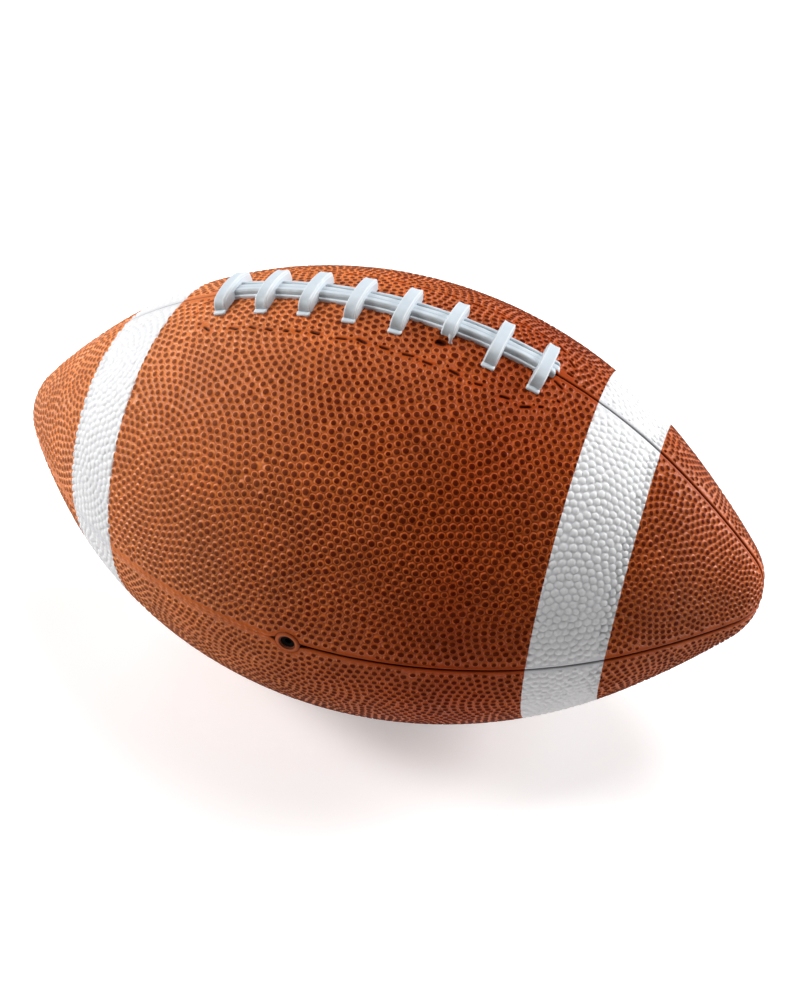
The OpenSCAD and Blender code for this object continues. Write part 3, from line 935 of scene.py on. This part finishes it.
class Nodes:
    """Short hand for the node tree of a new material or world."""

    def __init__(self, name, world=False):
        self.owner = (bpy.data.worlds if world else bpy.data.materials).new(name)
        self.owner.use_nodes = True
        self.tree = self.owner.node_tree
        self.shader = self.tree.nodes["Background" if world else "Principled BSDF"]

    def add(self, kind, inputs=None, **settings):
        node = self.tree.nodes.new("ShaderNode" + kind)
        for key, value in settings.items():
            setattr(node, key, value)
        for key, value in (inputs or {}).items():
            self.put(node.inputs[key], value)
        return node

    def put(self, socket, value):
        if isinstance(value, bpy.types.NodeSocket):
            self.tree.links.new(value, socket)
        else:
            socket.default_value = value

    def set(self, **inputs):
        for key, value in inputs.items():
            self.put(self.shader.inputs[key.replace("_", " ")], value)

    def attribute(self, name):
        return self.add("Attribute", attribute_name=name).outputs["Fac"]

    def half_relief(self):
        """The relief from 0 to 1, for a ramp."""
        return self.math("MULTIPLY", self.attribute("relief"), 0.5)

    def math(self, operation, a, b=0.5):
        return self.add("Math", {0: a, 1: b}, operation=operation).outputs[0]

    def most(self, first, *others):
        for other in others:
            first = self.math("MAXIMUM", first, other)
        return first

    def span(self, value, low, high, to_low=0.0, to_high=1.0):
        """A value brought from one span to another, and kept within it."""
        inputs = {"Value": value, "From Min": low, "From Max": high}
        inputs |= {"To Min": to_low, "To Max": to_high}
        return self.add("MapRange", inputs).outputs["Result"]

    def place(self, kind="Object"):
        return self.add("TexCoord").outputs[kind]

    def axes(self, vector):
        return self.add("SeparateXYZ", {"Vector": vector}).outputs

    def noise(self, scale, detail, roughness=0.55):
        inputs = {"Vector": self.place(), "Scale": scale, "Detail": detail, "Roughness": roughness}
        return self.add("TexNoise", inputs).outputs["Fac"]

    def vary(self, scale, low, high, detail=4.0):
        """A noise between two values."""
        return self.span(self.noise(scale, detail), 0.3, 0.7, low, high)

    def mix(self, share, a, b, blend="MIX"):
        # 6, 7 and output 2 are for colours
        inputs = {0: share, 6: a, 7: b}
        return self.add("Mix", inputs, data_type="RGBA", blend_type=blend).outputs[2]

    def mottle(self, colour, scale, low, high):
        """A colour times a grey that varies between two values."""
        tint = self.vary(scale, low, high)
        grey = self.add("CombineColor", {"Red": tint, "Green": tint, "Blue": tint})
        return self.mix(1.0, colour, grey.outputs[0], "MULTIPLY")

    def ramp(self, value, stops):
        node = self.add("ValToRGB", {"Fac": value})
        line = node.color_ramp
        while len(line.elements) < len(stops):
            line.elements.new(0.5)
        for element, (at, colour) in zip(line.elements, stops):
            element.position = at
            element.color = (*colour, 1)
        return node.outputs["Color"]

    def grained(self, strength, distance, *noise):
        """The finished material, with a fine grain."""
        inputs = {"Height": self.noise(*noise), "Strength": strength, "Distance": distance}
        self.set(Normal=self.add("Bump", inputs).outputs["Normal"])
        return self.owner


def rgba(r, g, b):
    return (r, g, b, 1)


# Colours along half the relief, from a pebble's top to a channel's bottom. The dark tops are the
# rubber's own colour; the dip at the valleys and the darkening down the lips, stitch slits, slot
# and channels are painted shade.
COVER_COLOURS_AND_SHADE = [
    (0.0, (0.062, 0.005, 0.0015)),
    (0.28, (0.085, 0.008, 0.0015)),
    (0.37, (0.40, 0.061, 0.004)),
    (0.43, (0.50, 0.085, 0.006)),
    (0.47, (0.43, 0.066, 0.004)),
    (0.51, (0.27, 0.032, 0.002)),
    (0.57, (0.37, 0.049, 0.003)),
    (0.66, (0.31, 0.036, 0.002)),
    (0.76, (0.22, 0.023, 0.002)),
    (0.88, (0.09, 0.009, 0.002)),
    (1.0, (0.04, 0.004, 0.002)),
]
# The white coat's colours along half the relief: greyer down the valleys and channels, which is
# painted shade
RING_COLOURS_AND_SHADE = [
    (0.0, (0.74, 0.74, 0.75)),
    (0.42, (0.74, 0.74, 0.75)),
    (0.54, (0.67, 0.67, 0.69)),
    (0.72, (0.6, 0.6, 0.62)),
    (0.85, (0.36, 0.36, 0.37)),
    (1.0, (0.26, 0.26, 0.27)),
]
# The rim's colours along half the relief: brown on its crest, darker down both walls as painted
# shade, black in the opening
RIM_COLOURS_AND_SHADE = [
    (0.0, (0.46, 0.1, 0.02)),
    (0.3, (0.33, 0.06, 0.01)),
    (0.6, (0.12, 0.02, 0.006)),
    (0.9, (0.01, 0.008, 0.008)),
]


def cover_material():
    """Orange brown rubber: dark worn tops in a bright net of flanks, with painted shade darkening
    the valleys and channels.
    """
    n = Nodes("pebbled_rubber")
    relief = n.math("ADD", n.half_relief(), n.vary(900.0, -0.022, 0.022, detail=2.0))
    colour = n.ramp(relief, COVER_COLOURS_AND_SHADE)
    tone = n.span(n.attribute("tone"), 0, 1, 0.0, 0.12)
    colour = n.mix(tone, colour, rgba(0.36, 0.07, 0.015))
    # Painted light: paler towards the underside, a painted reflection of the white floor, and
    # towards both noses, most of all the left one, painted washes of the lamps' light that also
    # pale the left nose's dark tops
    x, _, z = n.axes(n.place())
    colour = n.mix(n.span(z, 0.065, 0.02), colour, rgba(1.2, 1.4, 1.9), "MULTIPLY")
    colour = n.mix(n.span(x, 0.05, -0.09), colour, rgba(1.8, 3.4, 6.8), "MULTIPLY")
    colour = n.mix(n.span(x, 0.0, -0.12, 0.0, 0.36), colour, rgba(0.68, 0.25, 0.095))
    colour = n.mix(n.span(x, 0.05, 0.12), colour, rgba(1.3, 1.85, 2.9), "MULTIPLY")
    n.set(Base_Color=n.mottle(colour, 60.0, 0.88, 1.12))
    # Flanks shine more than tops and valleys, and most towards the underside and the noses
    top_edge, dull = (0.28, 0.38), 0.16
    off_top, off_valley = n.span(relief, *top_edge, 0.05, 1.0), n.span(relief, 0.54, 0.62, 1.0, 0.2)
    left, right = n.span(x, 0.04, -0.06, dull, 0.5), n.span(x, 0.095, 0.115, dull, 0.42)
    shine = n.most(left, right, n.span(z, 0.065, 0.025, dull, 0.6))
    n.set(Roughness=n.span(relief, *top_edge, 0.58, 0.44))
    flank = n.math("MULTIPLY", off_top, off_valley)
    n.set(Specular_IOR_Level=n.math("MULTIPLY", flank, shine))
    return n.grained(0.35, 0.0002, 2600.0, 4.0, 0.7)


def ring_material():
    """The white coat of the rings, greyed in the valleys and channels by painted shade."""
    n = Nodes("white_coat")
    n.set(Base_Color=n.ramp(n.half_relief(), RING_COLOURS_AND_SHADE), Roughness=0.45, Specular_IOR_Level=0.3)
    return n.grained(0.15, 0.0001, 2600.0, 3.0, 0.6)


def lace_material():
    """Moulded rubber, whiter along its edges by a painted highlight and greyer at its front ends
    and grooves by painted shade.
    """
    n = Nodes("lace_rubber")
    patches = n.span(n.noise(90.0, 4.0), 0.35, 0.65)
    body = n.mix(patches, rgba(0.50, 0.565, 0.625), rgba(0.56, 0.62, 0.67))
    # Painted shade: the tone column darkens the bars' front ends, the grooves and the backbone's
    # front side, broken up by noise
    shade_share = n.math("MULTIPLY", n.attribute("tone"), n.vary(220.0, 0.35, 1.0))
    body = n.mix(shade_share, body, rgba(0.34, 0.36, 0.36))
    # Painted highlight: the relief column whitens the laces' edges and ridge tops
    n.set(Base_Color=n.mix(n.attribute("relief"), body, rgba(0.66, 0.70, 0.73)))
    n.set(Roughness=n.vary(400.0, 0.42, 0.55, detail=3.0), Specular_IOR_Level=0.3)
    return n.grained(0.12, 0.0001, 1500.0, 4.0, 0.6)


def rim_material():
    """The valve's rim: the cover's brown outside, darkened down its walls by painted shade, black
    inside its opening.
    """
    n = Nodes("valve_rim_rubber")
    gloss = n.span(n.attribute("relief"), 1.2, 1.8, 0.12, 0.0)
    n.set(Base_Color=n.ramp(n.half_relief(), RIM_COLOURS_AND_SHADE), Roughness=0.5, Specular_IOR_Level=gloss)
    return n.grained(0.2, 0.0001, 1200.0, 4.0, 0.6)


def plain_material(name, colour, roughness, gloss=0.5):
    n = Nodes(name)
    n.set(Base_Color=n.mottle(rgba(*colour), 150.0, 0.92, 1.05), Specular_IOR_Level=gloss)
    n.set(Roughness=n.vary(400.0, roughness - 0.06, roughness + 0.06, detail=3.0))
    return n.grained(0.2, 0.0001, 1500.0, 4.0, 0.6)


def carcass_material():
    """Brown rubber, and the rings' coat where it runs over the bottom of the channels, greyed there
    by painted shade.
    """
    n = Nodes("carcass_rubber")
    away = n.math("ABSOLUTE", n.axes(n.place())["X"])
    after_start = n.math("GREATER_THAN", away, RING_START * MM)
    before_end = n.math("LESS_THAN", away, RING_END * MM)
    coated = n.math("MULTIPLY", after_start, before_end)
    # The coat's grey is its white darkened by painted shade at the channels' bottom
    colour = n.mix(coated, rgba(0.16, 0.022, 0.007), rgba(0.3, 0.3, 0.31))
    n.set(Base_Color=colour, Roughness=0.5)
    return n.grained(0.3, 0.0002, 900.0, 4.0, 0.6)


def finish_node(name, material):
    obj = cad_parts[name]
    obj.data.materials.clear()
    obj.data.materials.append(material)


cover = cover_material()
ring = ring_material()
lace = lace_material()

ring_parts = [[], []]
for panel_name, settings in PANELS.items():
    skin, rings = build_panel(panel_name + "_skin", *settings)
    skin.data.materials.append(cover)
    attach(skin, "root")
    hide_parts(panel_name)
    for side in (0, 1):
        ring_parts[side].append(rings[side])
for side, ring_name in enumerate(("ring_left", "ring_right")):
    skin = make_mesh(ring_name + "_skin", *joined(ring_parts[side]))
    skin.data.materials.append(ring)
    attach(skin, "root")
    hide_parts(ring_name)


def lace_piece(node, verts, tris):
    a, b, c = verts[tris][:, :, :3].transpose(1, 0, 2)
    area = np.linalg.norm(np.cross(b - a, c - a), axis=1)
    piece = make_mesh(node + "_moulding", verts, tris[area > 1e-6])
    piece.data.set_sharp_from_angle(angle=math.radians(50))
    piece.data.materials.append(lace)
    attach(piece, "root")
    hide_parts(node)


for k in range(1, BAR_COUNT + 1):
    lace_piece(f"lace_bar_{k}", *build_bar(k))
lace_piece("lace_backbone", *build_backbone())

rim = make_mesh("valve_rim", *build_valve_rim())
rim.data.materials.append(rim_material())
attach(rim, "root")
finish_node("carcass", carcass_material())
finish_node("valve_housing", plain_material("valve_rubber", (0.16, 0.04, 0.015), 0.45, gloss=0.1))
finish_node("valve_core", plain_material("core_rubber", (0.012, 0.011, 0.011), 0.6, gloss=0.0))
finish_node("bladder", plain_material("bladder_rubber", (0.03, 0.03, 0.032), 0.6))
finish_node("thread_winding", plain_material("wound_thread", (0.6, 0.55, 0.4), 0.7))

# Camera at the photograph's place, from a fit to the ball's outline, seams and rings
EYE = Vector((111.58, -316.75, 287.20 + CENTRE_Z))
FOCAL_PX, PHOTO_HEIGHT_PX, SENSOR = 1190.68, 1000, 36
TURN = Vector((-2.248843, -0.418619, 0.133498))
axes = Matrix.Rotation(TURN.length, 3, TURN.normalized())
right, down, forward = (axes @ Vector(v) for v in ((1, 0, 0), (0, 1, 0), (0, 0, 1)))
camera = add_object("camera", bpy.data.cameras.new("camera"))
camera.data.sensor_width = SENSOR
camera.data.lens = FOCAL_PX * SENSOR / PHOTO_HEIGHT_PX
camera.data.clip_start, camera.data.clip_end = 0.01, 100
view_axes = Matrix((right, -down, -forward)).transposed()
camera.matrix_world = Matrix.Translation(EYE * MM) @ view_axes.to_4x4()
bpy.context.scene.camera = camera


def area_light(name, place, size, power):
    """A square soft white light at a place in metres, facing the ball."""
    lamp = bpy.data.lights.new(name, "AREA")
    lamp.shape, lamp.size, lamp.energy = "SQUARE", size, power
    obj = add_object(name, lamp)
    obj.location = place
    obj.rotation_mode = "QUATERNION"
    way = Vector((0, 0, CENTRE_Z * MM)) - Vector(place)
    obj.rotation_quaternion = way.to_track_quat("-Z", "Y")


area_light("left", (-1.7, 0.0, 0.6), 0.5, 12)
area_light("left_front", (-1.4, -0.5, 1.2), 0.55, 20)
area_light("right_back", (1.3, 1.2, 0.7), 0.6, 33)
area_light("top", (0.4, 0.4, 1.7), 0.7, 15)


def build_world(strength):
    """White for the camera, and for gloss except towards the dark front of the studio."""
    n = Nodes("studio", world=True)
    bpy.context.scene.world = n.owner
    ray = n.add("LightPath").outputs
    front = n.span(n.axes(n.place("Generated"))["Y"], -0.85, -0.1, 0.1, 1.0)
    gloss = n.math("MULTIPLY", ray["Is Glossy Ray"], front)
    seen = n.most(ray["Is Camera Ray"], ray["Is Transmission Ray"], gloss)
    n.set(Color=rgba(1, 1, 1), Strength=n.span(seen, 0.0, 1.0, strength, 1.0))


def build_floor(glow):
    """A white floor that keeps the ball's shadow. Its glow only shows, and lights nothing."""
    mesh = bpy.data.meshes.new("floor")
    reach = 6.0
    corners = [(-reach, -reach, 0), (reach, -reach, 0), (reach, reach, 0), (-reach, reach, 0)]
    mesh.from_pydata(corners, [], [(0, 1, 2, 3)])
    floor = add_object("floor", mesh)
    n = Nodes("studio_floor")
    n.set(Base_Color=rgba(0.82, 0.81, 0.81), Roughness=0.9, Specular_IOR_Level=0.0)
    ray = n.add("LightPath").outputs
    seen = n.most(ray["Is Camera Ray"], ray["Is Glossy Ray"], ray["Is Transmission Ray"])
    n.set(Emission_Color=rgba(1, 1, 1), Emission_Strength=n.math("MULTIPLY", seen, glow))
    mesh.materials.append(n.owner)

build_world(strength=0.12)
build_floor(glow=0.41)
bpy.context.scene.view_settings.view_transform = "Standard"
